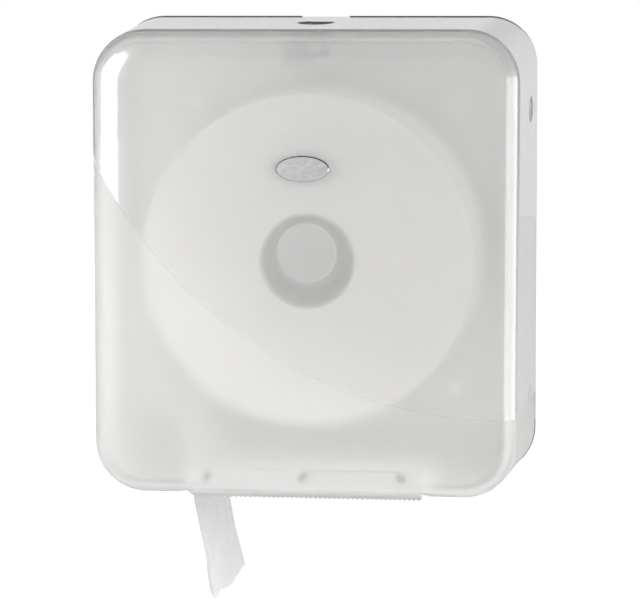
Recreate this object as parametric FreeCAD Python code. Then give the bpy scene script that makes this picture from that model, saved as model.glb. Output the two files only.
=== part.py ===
import FreeCAD, Part
import math
import os

os.makedirs("parts", exist_ok=True)

# Wall dispenser for one jumbo roll of toilet paper. Lengths are in mm.
# The origin is the centre of the rear face, on the wall plane and in the middle of the four wall
# screws. X runs to the right as a user sees it, Y into the wall, and Z up. The front is at -Y.

# Roll of paper
roll_radius = 124.0
roll_width = 90.0
roll_back = 24.0
core_bore_radius = 33.3
core_wall = 2.0
core_overhang = 0.4
roll_edge_bevel = 0.8

# Case: the room that it leaves round the roll, and how it narrows towards the front
roll_side_room = 38.5
roll_end_room = 52.0
roll_front_room = 26.0
front_slant = 14.0
side_taper = 5.5
end_taper = 5.0
rear_corner_radius = 36.5
front_corner_radius = 39.0
front_edge_radius = 12.0
case_width = 2 * (roll_radius + roll_side_room)
case_height = 2 * (roll_radius + roll_end_room)
case_depth = roll_back + roll_width + roll_front_room
half_width = case_width / 2
half_height = case_height / 2
cover_wall = 3.0
inner_bevel_share = 0.586
rear_gap = 2.0

# Line between the polished and the frosted part of the cover, an arc seen from the front
finish_step = 0.4
finish_arc_radius = 335.0
finish_arc_side_inset = 16.5
finish_arc_rise = 47.0
finish_arc_x = half_width - finish_arc_side_inset
finish_arc_z = half_height + finish_arc_rise

# Fits and shared clearances
shaft_clearance = 0.05
seat_gap = 0.05
body_gap = 0.3
part_gap = 0.5
swing_gap = 1.0
overrun = 5.0

# Hinge at the bottom of the case
hinge_depth = 15.0
hinge_height = 10.0
hinge_sweep = 12.5
corner_relief_margin = 6.0
pin_radius = 2.5
pin_head_radius = 4.0
pin_head_length = 1.4
knuckle_radius = 6.0
lug_width = 10.0
ear_width = 4.0

# Back plate
lip_thickness = 1.5
lip_proud = 0.6
lip_side_inset = 0.4
plate_thickness = 3.0
tray_clearance = 1.5
tray_wall = 2.5
tray_height = 16.0
tray_low_end = 24.0
notch_half_width = 18.5
notch_height = 4.6
wall_hole_side_inset = 62.5
wall_hole_end_inset = 66.0
wall_hole_x = half_width - wall_hole_side_inset
wall_hole_z = half_height - wall_hole_end_inset
wall_hole_radius = 2.75
wall_boss_radius = 9.0
wall_boss_height = 6.0
hub_pad_radius = 47.0
hub_pad_height = 8.0
rib_thickness = 2.0
rib_height = 8.0

# Spindle and hub
hub_z = 6.3
spindle_radius = 18.0
spindle_bore = 14.5
spindle_flange_radius = 42.0
spindle_flange_thickness = 4.0
spindle_screw_circle = 34.0
spindle_screw_count = 4
hub_radius = 27.0
hub_nose_radius = 22.5
hub_nose_length = 9.0
hub_wall = 2.0
hub_web_count = 6
hub_length = 99.0
washer_thickness = 0.8
washer_outer_radius = 22.0
cap_radius = 21.0
cap_thickness = 4.5
cap_edge_bevel = 1.2
cap_plug_length = 12.0

# Sheet that leaves the roll and hangs out of the case
sheet_thickness = 0.6
sheet_roll_gap = 0.5
sheet_wrap_deg = 16.0
sheet_back = 26.0
sheet_width = 84.0
sheet_exit_inset = 11.5
sheet_exit_height = 4.0
tail_length = 84.0
tail_drift = 12.5
tail_narrowing = 14.0
tail_twist = 16.5
tail_twist_loss = 5.0
tail_fold_depth = 2.2
tear_slope_length = 8.0
tear_tooth_pitch = 3.48
tear_tooth_height = 1.3

# Way out for the paper, and the toothed strip in front of it
exit_side_room = 70.5
exit_back = 20.0
exit_height = 14.0
strip_end_gap = 4.5
strip_plain_length = 7.5
strip_set_back = 8.6
strip_thickness = 1.2
strip_top = 24.0
strip_drop = 2.7
strip_ramp = 3.5
strip_screw_inset = 15.5
strip_screw_count = 3
strip_screw_height = 19.0
strip_boss_radius = 3.6

# Badge plate, plain
badge_width = 39.0
badge_height = 19.0
badge_drop = 105.5
badge_pocket = 0.6
badge_proud = 1.2
badge_bevel = 0.7

# Lock in the top of the cover
lock_set_back = 80.0
lock_dish_radius = 13.3
bezel_radius = 14.0
bezel_flange = 1.2
bezel_tube_radius = 11.0
bezel_bore = 9.25
bezel_dish_depth = 3.0
bezel_length = 22.0
lock_pad_radius = 18.0
lock_pad_thickness = 3.0
nut_radius = 15.0
nut_thickness = 4.0
nut_corners = 6
barrel_set_back = 3.6
key_slot_length = 11.0
key_slot_width = 3.6
key_slot_depth = 9.0
key_wedge_length = 2.6
key_wedge_width = 2.0
key_wedge_depth = 3.0
spigot_side = 7.0
cam_base_radius = 11.0
cam_thickness = 2.4
cam_arm_length = 17.0
cam_arm_width = 8.0
cam_screw_radius = 1.5
cam_screw_length = 10.0
cam_screw_head_radius = 4.2
cam_screw_head_height = 2.0

# Catch on the back plate that the cam turns behind
catch_thickness = 3.0
catch_arm_x = 23.0
catch_arm_height = 7.0
catch_hook_x = 11.8
catch_hook_gap = 2.0
catch_hook_thickness = 4.0
catch_base_width = 22.0
catch_base_height = 24.0
catch_screw_pitch = 15.0

# Small screws: shank, head and the hole that each goes through
screw_radius = 1.5
screw_head_radius = 3.0
screw_head_height = 2.0

# Finger dimples in the sides of the cover
dimple_y = 50.0
dimple_drop = 67.0
dimple_length = 30.0
dimple_height = 20.0
dimple_depth = 1.3
dimple_floor_share = 0.66

exit_half_width = half_width - exit_side_room
exit_x = sheet_exit_inset - exit_half_width
exit_z = sheet_exit_height - half_height
strip_half_width = exit_half_width - strip_end_gap
strip_teeth_left = strip_half_width - strip_plain_length
strip_back = case_depth + front_slant / 2 - strip_set_back
exit_front = strip_back + strip_thickness + 2 * part_gap
badge_z = half_height - badge_drop
dimple_z = half_height - dimple_drop
lock_depth = case_depth - lock_set_back
hinge_x = exit_half_width + swing_gap + pin_head_length + ear_width + part_gap + lug_width / 2 + part_gap
hinge_y = -hinge_depth
hinge_z = -half_height + hinge_height
tilt_deg = math.degrees(math.atan(front_slant / case_height))
x_axis = FreeCAD.Vector(1, 0, 0)
y_axis = FreeCAD.Vector(0, 1, 0)
z_axis = FreeCAD.Vector(0, 0, 1)
origin = FreeCAD.Vector(0, 0, 0)


def save(shape, node):
    shape.exportStep("parts/" + node + ".step")
    print(node, len(shape.Solids), "solid(s)", round(shape.Volume / 1000, 2), "cm3")


def joined(shapes):
    whole = shapes[0].multiFuse(shapes[1:])
    return whole.removeSplitter()


def block(x0, x1, y0, y1, z0, z1):
    low = FreeCAD.Vector(min(x0, x1), min(y0, y1), min(z0, z1))
    return Part.makeBox(abs(x1 - x0), abs(y1 - y0), abs(z1 - z0), low)


def rod_x(radius, x0, x1, y, z):
    return Part.makeCylinder(radius, abs(x1 - x0), FreeCAD.Vector(min(x0, x1), y, z), x_axis)


def rod_y(radius, y0, y1, x, z):
    return Part.makeCylinder(radius, abs(y1 - y0), FreeCAD.Vector(x, min(y0, y1), z), y_axis)


def rod_z(radius, z0, z1, x, y):
    return Part.makeCylinder(radius, abs(z1 - z0), FreeCAD.Vector(x, y, min(z0, z1)), z_axis)


def mirrored(shape):
    return shape.mirror(origin, x_axis)


def front_y(z):
    """Outer front face at height z."""
    return -case_depth + front_slant * z / case_height


def top_z(y):
    """Outer top face at depth y."""
    return half_height + end_taper * y / case_depth


def side_x(y):
    """Outer side face at depth y."""
    return half_width + side_taper * y / case_depth


def rounded_face(half_w, half_h, radius):
    """Rounded rectangle on the wall plane, facing the user."""
    plate = block(-half_w, half_w, 0, overrun, -half_h, half_h)
    plate = plate.makeFillet(radius, [e for e in plate.Edges if abs(e.Vertexes[0].Y - e.Vertexes[-1].Y) > 0])
    return min(plate.Faces, key=lambda f: f.CenterOfMass.y)


def front_corner(half_w, half_h, reach, sx, sz):
    """Corner where a side, the top or bottom, and the leaning front face meet."""
    lean = front_slant / case_height
    draft = end_taper / case_depth
    z = sz * (half_h - draft * reach) / (1 - sz * draft * lean)
    depth = reach - lean * z
    return FreeCAD.Vector(sx * (half_w - side_taper * depth / case_depth), -depth, z)


def rounded_loop(points, radius):
    """Closed outline through the corner points, each corner rounded with an arc."""
    count = len(points)
    arcs = []
    for i in range(count):
        before = (points[i - 1] - points[i]).normalize()
        after = (points[(i + 1) % count] - points[i]).normalize()
        half = before.getAngle(after) / 2
        along = radius / math.tan(half)
        inward = (before + after).normalize()
        middle = points[i] + inward * (radius / math.sin(half) - radius)
        arcs.append((points[i] + before * along, middle, points[i] + after * along))
    edges = []
    for i in range(count):
        edges.append(Part.Arc(*arcs[i]).toShape())
        edges.append(Part.makeLine(arcs[i][2], arcs[(i + 1) % count][0]))
    return Part.Wire(edges)


def flat_or_kept(face):
    """A true plane in place of a four-cornered side face that is flat, any other face as it is."""
    corners = [v.Point for v in face.OuterWire.OrderedVertexes]
    turn = face.normalAt(0.1, 0.1).getAngle(face.normalAt(0.9, 0.9))
    if len(corners) == 4 and turn < math.radians(0.1):
        return Part.Face(Part.makePolygon(corners + corners[:1]))
    return face


def case_body(inset, front_inset):
    """The case as a full body with a sharp front edge, drawn in all round and at the front."""
    half_w = half_width - inset
    half_h = half_height - inset
    signs = ((1, 1), (-1, 1), (-1, -1), (1, -1))
    rear = [FreeCAD.Vector(sx * half_w, 0, sz * half_h) for sx, sz in signs]
    front = [front_corner(half_w, half_h, case_depth - front_inset, sx, sz) for sx, sz in signs]
    loops = [rounded_loop(rear, rear_corner_radius - inset), rounded_loop(front, front_corner_radius - inset)]
    faces = [flat_or_kept(face) for face in Part.makeLoft(loops, True, True).Faces]
    body = Part.makeSolid(Part.Shell(faces))
    return body, min(body.Faces, key=lambda f: f.CenterOfMass.y)


def case_form(inset, front_inset):
    """The case with its front edge rounded, as it is outside."""
    body, face = case_body(inset, front_inset)
    return body.makeFillet(front_edge_radius - front_inset, face.Edges)


def case_hollow(inset, front_inset):
    """The case with its front edge bevelled, as it is inside, where the wall stays about as thick."""
    body, face = case_body(inset, front_inset)
    return body.makeChamfer(inner_bevel_share * (front_edge_radius - front_inset), face.Edges)


def behind_hinge(radius):
    """Space behind and below the hinge line, and behind the lower corners, that lets the cover swing."""
    low_back = hinge_y + math.sqrt(radius ** 2 - hinge_height ** 2)
    profile = [(-case_height, low_back), (-half_height, low_back), (hinge_z, hinge_y + radius),
               (hinge_z, overrun), (-case_height, overrun)]
    points = [FreeCAD.Vector(-case_width, y, z) for z, y in profile]
    space = Part.Face(Part.makePolygon(points + points[:1])).extrude(FreeCAD.Vector(2 * case_width, 0, 0))
    flat_end = half_width - rear_corner_radius - corner_relief_margin
    for side in (-1, 1):
        space = space.fuse(block(side * flat_end, side * case_width, low_back, overrun,
                                 -case_height, -half_height + half_width - flat_end))
    return space


def screw_y(x, z, head_y, length):
    """Small screw driven towards the wall or the front, head at head_y."""
    way = 1 if length > 0 else -1
    head = rod_y(screw_head_radius, head_y - way * screw_head_height, head_y, x, z)
    return head.fuse(rod_y(screw_radius, head_y, head_y + length, x, z))


# Positions that follow from the sizes above
roll_z = hub_z + hub_radius + body_gap - core_bore_radius
roll_front = roll_back + roll_width
flange_back = hub_pad_height + seat_gap
flange_front = flange_back + spindle_flange_thickness
hub_back = flange_front + screw_head_height + 2 * part_gap
hub_front = hub_back + hub_length
washer_back = hub_front + body_gap
cap_back = washer_back + washer_thickness + body_gap
bezel_top = top_z(-lock_depth)
lock_wall = cover_wall + lock_pad_thickness
nut_top = bezel_top - lock_wall - part_gap
cam_top = bezel_top - bezel_length - body_gap
catch_z = cam_top - cam_thickness / 2


def back_plate():
    """Tray on the wall: a lip behind the cover, a low wall inside it, and bosses, ribs and lugs."""
    tray_inset = cover_wall + tray_clearance
    inside = block(-case_width, case_width, -tray_height, 0, -case_height, case_height)
    tray = case_hollow(tray_inset, cover_wall).common(inside)
    hollow = case_hollow(tray_inset + tray_wall, cover_wall)
    floor = block(-case_width, case_width, -plate_thickness, overrun, -case_height, case_height)
    tray = tray.cut(hollow.cut(floor))
    low_end = hinge_z + tray_low_end
    tray = tray.cut(block(-case_width, case_width, -case_depth, overrun, -case_height, low_end))
    sill = block(-case_width, case_width, -tray_height, 0, low_end, low_end + tray_wall)
    sill = sill.common(case_hollow(tray_inset, cover_wall))
    lip = rounded_face(half_width - lip_side_inset, half_height + lip_proud, rear_corner_radius)
    lip = lip.extrude(FreeCAD.Vector(0, -lip_thickness, 0))
    shapes = [tray, sill, lip]
    for angle in (0, 45, 90, 135):
        reach = half_width - tray_inset - tray_wall / 2
        rib = block(-reach, reach, -rib_height, -plate_thickness / 2, -rib_thickness / 2, rib_thickness / 2)
        rib.rotate(origin, y_axis, angle)
        rib.translate(FreeCAD.Vector(0, 0, hub_z))
        shapes.append(rib.common(case_hollow(tray_inset + tray_wall / 2, cover_wall)))
    shapes.append(rod_y(hub_pad_radius, -hub_pad_height, 0, 0, hub_z))
    for x in (-wall_hole_x, wall_hole_x):
        for z in (-wall_hole_z, wall_hole_z):
            shapes.append(rod_y(wall_boss_radius, -wall_boss_height, 0, x, z))
    for side in (-1, 1):
        x0 = side * hinge_x - lug_width / 2
        x1 = side * hinge_x + lug_width / 2
        shapes.append(rod_x(knuckle_radius, x0, x1, hinge_y, hinge_z))
        shapes.append(block(x0, x1, hinge_y, -lip_thickness / 2, hinge_z - knuckle_radius / 2, hinge_z + knuckle_radius))
        shapes.append(block(x0, x1, hinge_y + knuckle_radius, -lip_thickness / 2, hinge_z, low_end + tray_wall))
    plate = joined(shapes)
    spare = plate_thickness + part_gap
    plate = plate.cut(rod_y(hub_pad_radius - spare, -hub_pad_height + spare, overrun, 0, hub_z))
    for x in (-wall_hole_x, wall_hole_x):
        for z in (-wall_hole_z, wall_hole_z):
            plate = plate.cut(rod_y(wall_hole_radius, -wall_boss_height - overrun, overrun, x, z))
    for side in (-1, 1):
        x = side * hinge_x
        plate = plate.cut(rod_x(pin_radius + shaft_clearance, x - lug_width, x + lug_width, hinge_y, hinge_z))
    notch_top = half_height + lip_proud + overrun
    notch = block(-notch_half_width, notch_half_width, -lip_thickness - overrun, overrun,
                  half_height - notch_height, notch_top)
    plate = plate.cut(notch.cut(case_hollow(tray_inset, cover_wall)))
    for x, z in spindle_screw_places():
        plate = plate.cut(rod_y(screw_radius + shaft_clearance, -hub_pad_height - overrun, overrun, x, z))
    for x, z in catch_screw_places():
        plate = plate.cut(rod_y(screw_radius + shaft_clearance, -plate_thickness - overrun, overrun, x, z))
    return plate


def spindle_screw_places():
    places = []
    for i in range(spindle_screw_count):
        a = math.radians(360 / spindle_screw_count * (i + 0.5))
        places.append((spindle_screw_circle * math.cos(a), hub_z + spindle_screw_circle * math.sin(a)))
    return places


def catch_screw_places():
    x = -catch_arm_x + catch_thickness / 2
    return [(x, catch_z - catch_screw_pitch / 2), (x, catch_z + catch_screw_pitch / 2)]


def spindle():
    """Fixed hollow post with a round flange and four gussets."""
    post_front = washer_back + washer_thickness
    post = rod_y(spindle_radius, -post_front, -flange_back, 0, hub_z)
    flange = rod_y(spindle_flange_radius, -flange_front, -flange_back, 0, hub_z)
    body = joined([post, flange])
    body = body.cut(rod_y(spindle_bore, -post_front - overrun, overrun, 0, hub_z))
    for x, z in spindle_screw_places():
        body = body.cut(rod_y(screw_radius + shaft_clearance, -flange_front - overrun, overrun, x, z))
    return body


def spindle_screws():
    screws = []
    for x, z in spindle_screw_places():
        screws.append(screw_y(x, z, -flange_front - seat_gap, flange_front - part_gap))
    return Part.makeCompound(screws)


def hub_sleeve():
    """Roll carrier that turns on the spindle: two tubes joined by webs, with a tapered nose."""
    nose_start = hub_front - hub_nose_length
    bore = spindle_radius + shaft_clearance
    profile = [
        (hub_radius, hub_back),
        (hub_radius, nose_start),
        (hub_nose_radius, hub_front),
        (bore, hub_front),
        (bore, nose_start),
        (hub_radius - hub_wall, nose_start),
        (hub_radius - hub_wall, hub_back),
    ]
    points = []
    for radius, depth in profile:
        points.append(FreeCAD.Vector(radius, -depth, hub_z))
    shell = Part.Face(Part.makePolygon(points + points[:1]))
    shell = shell.revolve(FreeCAD.Vector(0, 0, hub_z), y_axis, 360)
    tube = rod_y(bore + hub_wall, -hub_front, -hub_back, 0, hub_z)
    shapes = [shell, tube]
    for i in range(hub_web_count):
        web = block(bore + hub_wall / 2, hub_radius - hub_wall / 2, -nose_start, -hub_back, -hub_wall / 2, hub_wall / 2)
        web.rotate(origin, y_axis, 360 / hub_web_count * i)
        web.translate(FreeCAD.Vector(0, 0, hub_z))
        shapes.append(web)
    body = joined(shapes)
    return body.cut(rod_y(bore, -hub_front - overrun, overrun, 0, hub_z))


def thrust_washer():
    ring = rod_y(washer_outer_radius, -washer_back - washer_thickness, -washer_back, 0, hub_z)
    return ring.cut(rod_y(spindle_radius + shaft_clearance, -case_depth, 0, 0, hub_z))


def hub_cap():
    """Round cap that plugs the spindle and keeps the sleeve on it."""
    disc = rod_y(cap_radius, -cap_back - cap_thickness, -cap_back, 0, hub_z)
    rim = min(disc.Edges, key=lambda e: e.CenterOfMass.y)
    disc = disc.makeChamfer(cap_edge_bevel, [rim])
    plug = rod_y(spindle_bore - shaft_clearance, -cap_back, -cap_back + cap_plug_length, 0, hub_z)
    return joined([disc, plug])


def roll_core():
    outer = core_bore_radius + core_wall
    tube = rod_y(outer, -roll_front - core_overhang, -roll_back + core_overhang, 0, roll_z)
    return tube.cut(rod_y(core_bore_radius, -case_depth - overrun, overrun, 0, roll_z))


def paper_roll():
    """Wound paper: a thick ring with its edges eased, held by the core."""
    inner = core_bore_radius + core_wall + seat_gap
    body = rod_y(roll_radius, -roll_front, -roll_back, 0, roll_z)
    body = body.makeChamfer(roll_edge_bevel, [e for e in body.Edges if e.Closed and e.Length > roll_radius])
    return body.cut(rod_y(inner, -case_depth - overrun, overrun, 0, roll_z))


def sheet_stations():
    """Stations along the sheet: place of its middle, its direction, and how far it has gone down."""
    reach = roll_radius + sheet_roll_gap + sheet_thickness / 2
    dx = exit_x
    dz = exit_z - roll_z
    far = math.hypot(dx, dz)
    touch = math.atan2(dz, dx) - math.acos(reach / far)
    stations = []
    for i in range(4):
        a = touch - math.radians(sheet_wrap_deg) * (3 - i) / 3
        x = reach * math.cos(a)
        z = roll_z + reach * math.sin(a)
        stations.append((x, z, math.cos(a), math.sin(a), 0))
    x0, z0 = stations[-1][0], stations[-1][1]
    for i in range(1, 6):
        t = i / 5
        stations.append((x0 + (exit_x - x0) * t, z0 + (exit_z - z0) * t, math.cos(touch), math.sin(touch), t))
    for i in range(1, 9):
        t = i / 8
        x = exit_x + tail_drift * (1 - (1 - t) ** 2)
        slope = 2 * tail_drift * (1 - t) / tail_length
        size = math.hypot(1, slope)
        stations.append((x, exit_z - tail_length * t, -1 / size, -slope / size, 1 + t))
    return stations


def sheet_section(x, z, nx, nz, run):
    """Closed outline of the sheet at one station, from its front edge to its rear edge."""
    down = max(run - 1, 0)
    bend = min(run, 1)
    width = sheet_width - tail_narrowing * down
    twist = tail_twist * bend ** 2 - tail_twist_loss * down
    count = 12
    mid = -sheet_back - sheet_width / 2
    mid = mid + tail_narrowing * down / 4
    outer = []
    inner = []
    for i in range(count + 1):
        s = i / count
        y = mid + width * (s - 0.5)
        wave = tail_fold_depth * bend ** 2 * (math.sin(2 * math.pi * s) + 0.5 * math.sin(5 * math.pi * s + 1))
        shift = twist * (s - 0.5) + wave
        outer.append(FreeCAD.Vector(x + shift + nx * sheet_thickness / 2, y, z + nz * sheet_thickness / 2))
        inner.append(FreeCAD.Vector(x + shift - nx * sheet_thickness / 2, y, z - nz * sheet_thickness / 2))
    points = outer + inner[::-1]
    return Part.makePolygon(points + points[:1])


def paper_tail():
    """Loose end: it leaves the roll on the left, slants to the way out and hangs with soft folds."""
    sections = [sheet_section(*station) for station in sheet_stations()]
    sheet = Part.makeLoft(sections, True, True)
    low = exit_z - tail_length
    front = -sheet_back - sheet_width
    count = int(sheet_width / tear_tooth_pitch) + 2
    points = [FreeCAD.Vector(exit_x - sheet_width, front, low - overrun)]
    for i in range(2 * count + 1):
        y = front + i * tear_tooth_pitch / 2
        rise = tear_slope_length * i / (2 * count) + tear_tooth_height * (i % 2)
        points.append(FreeCAD.Vector(exit_x - sheet_width, y, low + rise))
    points.append(FreeCAD.Vector(exit_x - sheet_width, points[-1].y, low - overrun))
    tear = Part.Face(Part.makePolygon(points + points[:1]))
    return sheet.cut(tear.extrude(FreeCAD.Vector(2 * sheet_width, 0, 0)))


def hinge_pin():
    """Right-hand hinge pin, headed at its inner end."""
    reach = lug_width / 2 + part_gap + ear_width + seat_gap
    head_x = hinge_x - reach - pin_head_length
    body = rod_x(pin_radius, head_x, hinge_x + reach + pin_head_length, hinge_y, hinge_z)
    head = rod_x(pin_head_radius, head_x, head_x + pin_head_length, hinge_y, hinge_z)
    return joined([body, head])


def badge_ellipse(grow, depth, height):
    """Oval prism square to the front face at the badge, standing height out of depth below it."""
    wire = Part.Ellipse(origin, badge_width / 2 + grow, badge_height / 2 + grow).toShape()
    prism = Part.Face(Part.Wire([wire])).extrude(FreeCAD.Vector(0, 0, height))
    prism.translate(FreeCAD.Vector(0, 0, -depth))
    prism.rotate(origin, x_axis, 90 - tilt_deg)
    prism.translate(FreeCAD.Vector(0, front_y(badge_z), badge_z))
    return prism


def badge():
    plate = badge_ellipse(0, badge_pocket - seat_gap, badge_pocket - seat_gap + badge_proud)
    front = min(plate.Faces, key=lambda f: f.CenterOfMass.y)
    return plate.makeChamfer(badge_bevel, front.Edges)


def strip_screw_places():
    reach = strip_half_width - strip_screw_inset
    places = []
    for i in range(strip_screw_count):
        share = 2 * i / (strip_screw_count - 1) - 1
        places.append((share * reach, -half_height + strip_screw_height))
    return places


def tear_strip():
    """Flat strip behind the lower front edge of the cover, with a row of teeth along its bottom."""
    tip = -half_height + end_taper - strip_drop
    root = tip + tear_tooth_height
    top = -half_height + strip_top
    points = [(-strip_half_width, top), (-strip_half_width, root + strip_ramp),
              (-strip_teeth_left - strip_ramp, root)]
    count = int((strip_half_width + strip_teeth_left) / tear_tooth_pitch)
    for i in range(count):
        x = -strip_teeth_left + i * tear_tooth_pitch
        points.append((x, root))
        points.append((x + tear_tooth_pitch / 2, tip))
    points.append((-strip_teeth_left + count * tear_tooth_pitch, root))
    points.append((strip_half_width, root))
    points.append((strip_half_width, top))
    wire = Part.makePolygon([FreeCAD.Vector(x, -strip_back, z) for x, z in points + points[:1]])
    strip = Part.Face(wire).extrude(FreeCAD.Vector(0, -strip_thickness, 0))
    for x, z in strip_screw_places():
        strip = strip.cut(rod_y(screw_radius + shaft_clearance, -case_depth, 0, x, z))
    return strip


def strip_screws():
    screws = []
    for x, z in strip_screw_places():
        depth = strip_boss_depth(z) - part_gap
        screws.append(screw_y(x, z, -strip_back + seat_gap, strip_back - depth))
    return Part.makeCompound(screws)


def strip_boss_depth(z):
    """Depth of the inner front face behind the strip."""
    return -front_y(z) - cover_wall


def dimple():
    """Shallow oval dish for a fingertip, sunk in the right-hand side of the cover."""
    ovals = []
    for share, depth in ((1, 0), (dimple_floor_share, dimple_depth)):
        oval = Part.Ellipse(origin, dimple_length / 2 * share, dimple_height / 2 * share).toShape()
        oval.translate(FreeCAD.Vector(0, 0, -depth))
        ovals.append(Part.Wire([oval]))
    lid = Part.Face(ovals[0]).extrude(FreeCAD.Vector(0, 0, overrun))
    dish = Part.makeLoft(ovals, True, True).fuse(lid)
    dish.rotate(origin, z_axis, 90)
    dish.rotate(origin, y_axis, 90)
    dish.rotate(origin, z_axis, math.degrees(math.atan(side_taper / case_depth)))
    dish.translate(FreeCAD.Vector(side_x(-dimple_y), -dimple_y, dimple_z))
    return dish


def front_cover():
    """One moulded shell that swings down: polished above the arc, a hair lower and frosted below."""
    shell = case_form(0, 0)
    skin = shell.cut(case_form(finish_step, finish_step))
    arc = rod_y(finish_arc_radius, -2 * case_depth, overrun, finish_arc_x, finish_arc_z)
    shell = shell.cut(skin.cut(arc))
    shell = shell.cut(case_hollow(cover_wall, cover_wall))
    shapes = [shell]
    inner = case_hollow(cover_wall / 2, cover_wall / 2)
    for side in (-1, 1):
        for way in (-1, 1):
            near = side * hinge_x + way * (lug_width / 2 + part_gap)
            far = near + way * ear_width
            ear = rod_x(knuckle_radius, near, far, hinge_y, hinge_z)
            foot = block(near, far, hinge_y - knuckle_radius, hinge_y + knuckle_radius,
                         hinge_z - hinge_height + cover_wall / 2, hinge_z)
            shapes.append(ear)
            shapes.append(foot)
    for x, z in strip_screw_places():
        boss = rod_y(strip_boss_radius, front_y(z) - overrun, -strip_back - strip_thickness - seat_gap, x, z)
        shapes.append(boss.common(inner))
    pad = rod_z(lock_pad_radius, bezel_top - lock_wall, bezel_top + overrun, 0, -lock_depth)
    shapes.append(pad.common(inner))
    shell = joined(shapes)
    rear = block(-case_width, case_width, -rear_gap, overrun, -case_height, case_height)
    tab = block(-notch_half_width + part_gap, notch_half_width - part_gap, -rear_gap, -part_gap,
                half_height - cover_wall, half_height + lip_proud)
    shell = shell.cut(rear.cut(tab))
    shell = shell.cut(behind_hinge(hinge_sweep))
    shell = shell.cut(block(-exit_half_width, exit_half_width, -exit_front, -exit_back,
                            -case_height, -half_height + exit_height))
    for side in (-1, 1):
        half = lug_width / 2 + part_gap
        x = side * hinge_x
        shell = shell.cut(block(x - half, x + half, hinge_y - knuckle_radius - 2 * swing_gap, overrun,
                                -case_height, hinge_z))
        bore = pin_radius + shaft_clearance
        shell = shell.cut(rod_x(bore, x - lug_width, x + lug_width, hinge_y, hinge_z))
    for x, z in strip_screw_places():
        shell = shell.cut(rod_y(screw_radius + shaft_clearance, -strip_boss_depth(z), 0, x, z))
    shell = shell.cut(rod_z(bezel_tube_radius + part_gap / 2, 0, case_height, 0, -lock_depth))
    shell = shell.cut(rod_z(bezel_radius + part_gap / 2, bezel_top - bezel_flange - seat_gap, case_height,
                            0, -lock_depth))
    shell = shell.cut(badge_ellipse(part_gap / 2, badge_pocket, badge_pocket + overrun))
    shell = shell.cut(dimple())
    return shell.cut(mirrored(dimple()))


def lock_bezel():
    """Sunk round dish in the top of the cover, with the threaded tube that the nut holds."""
    profile = [
        (bezel_radius, 0),
        (bezel_radius, bezel_flange),
        (bezel_tube_radius, bezel_flange),
        (bezel_tube_radius, bezel_length),
        (bezel_bore, bezel_length),
        (bezel_bore, bezel_dish_depth),
        (lock_dish_radius, 0),
    ]
    points = [FreeCAD.Vector(radius, -lock_depth, bezel_top - depth) for radius, depth in profile]
    face = Part.Face(Part.makePolygon(points + points[:1]))
    return face.revolve(FreeCAD.Vector(0, -lock_depth, 0), z_axis, 360)


def lock_nut():
    points = []
    for i in range(nut_corners):
        a = math.radians(360 / nut_corners * i)
        points.append(FreeCAD.Vector(nut_radius * math.cos(a), -lock_depth + nut_radius * math.sin(a),
                                     nut_top - nut_thickness))
    body = Part.Face(Part.makePolygon(points + points[:1])).extrude(FreeCAD.Vector(0, 0, nut_thickness))
    return body.cut(rod_z(bezel_tube_radius + shaft_clearance, 0, case_height, 0, -lock_depth))


def lock_barrel():
    """Turning core of the lock, with its key slot and the square spigot for the cam."""
    top = bezel_top - barrel_set_back
    body = rod_z(bezel_bore - shaft_clearance, bezel_top - bezel_length, top, 0, -lock_depth)
    half = spigot_side / 2
    spigot = block(-half, half, -lock_depth - half, -lock_depth + half,
                   cam_top - cam_thickness, bezel_top - bezel_length + overrun)
    body = joined([body, spigot])
    body = body.cut(block(-key_slot_width / 2, key_slot_width / 2, -lock_depth - key_slot_length / 2,
                          -lock_depth + key_slot_length / 2, top - key_slot_depth, top + overrun))
    for side in (-1, 1):
        x = side * (key_slot_width / 2 + key_wedge_length)
        body = body.cut(block(0, x, -lock_depth - key_wedge_width / 2, -lock_depth + key_wedge_width / 2,
                              top - key_wedge_depth, top + overrun))
    hole = rod_z(cam_screw_radius + shaft_clearance, cam_top - cam_thickness - overrun,
                 cam_top - cam_thickness + cam_screw_length, 0, -lock_depth)
    return body.cut(hole)


def lock_cam():
    """Flat cam under the barrel. At rest its arm points to the wall, so the cover is free."""
    base = rod_z(cam_base_radius, cam_top - cam_thickness, cam_top, 0, -lock_depth)
    half = cam_arm_width / 2
    arm = block(-half, half, -lock_depth, -lock_depth + cam_arm_length, cam_top - cam_thickness, cam_top)
    body = joined([base, arm])
    side = spigot_side / 2 + shaft_clearance
    return body.cut(block(-side, side, -lock_depth - side, -lock_depth + side, 0, case_height))


def cam_screw():
    seat = cam_top - cam_thickness - seat_gap
    head = rod_z(cam_screw_head_radius, seat - cam_screw_head_height, seat, 0, -lock_depth)
    shank = rod_z(cam_screw_radius, seat, seat + cam_screw_length - part_gap, 0, -lock_depth)
    return joined([head, shank])


def catch():
    """Arm from the back plate with a hook at its end, beside the path of the cam."""
    low = catch_z - catch_arm_height / 2
    high = catch_z + catch_arm_height / 2
    back = -plate_thickness - seat_gap
    hook_back = -lock_depth - cam_arm_width / 2 - catch_hook_gap
    hook_front = hook_back - catch_hook_thickness
    inner_x = -catch_arm_x + catch_thickness
    arm = block(-catch_arm_x, inner_x, hook_front, back, low, high)
    hook = block(-catch_arm_x, -catch_hook_x, hook_front, hook_back, low, high)
    middle = -catch_arm_x + catch_thickness / 2
    base = block(middle - catch_base_width / 2, middle + catch_base_width / 2, back - catch_thickness, back,
                 catch_z - catch_base_height / 2, catch_z + catch_base_height / 2)
    body = joined([arm, hook, base])
    for x, z in catch_screw_places():
        body = body.cut(rod_y(screw_radius + shaft_clearance, back - 2 * catch_thickness, overrun, x, z))
    return body


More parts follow.
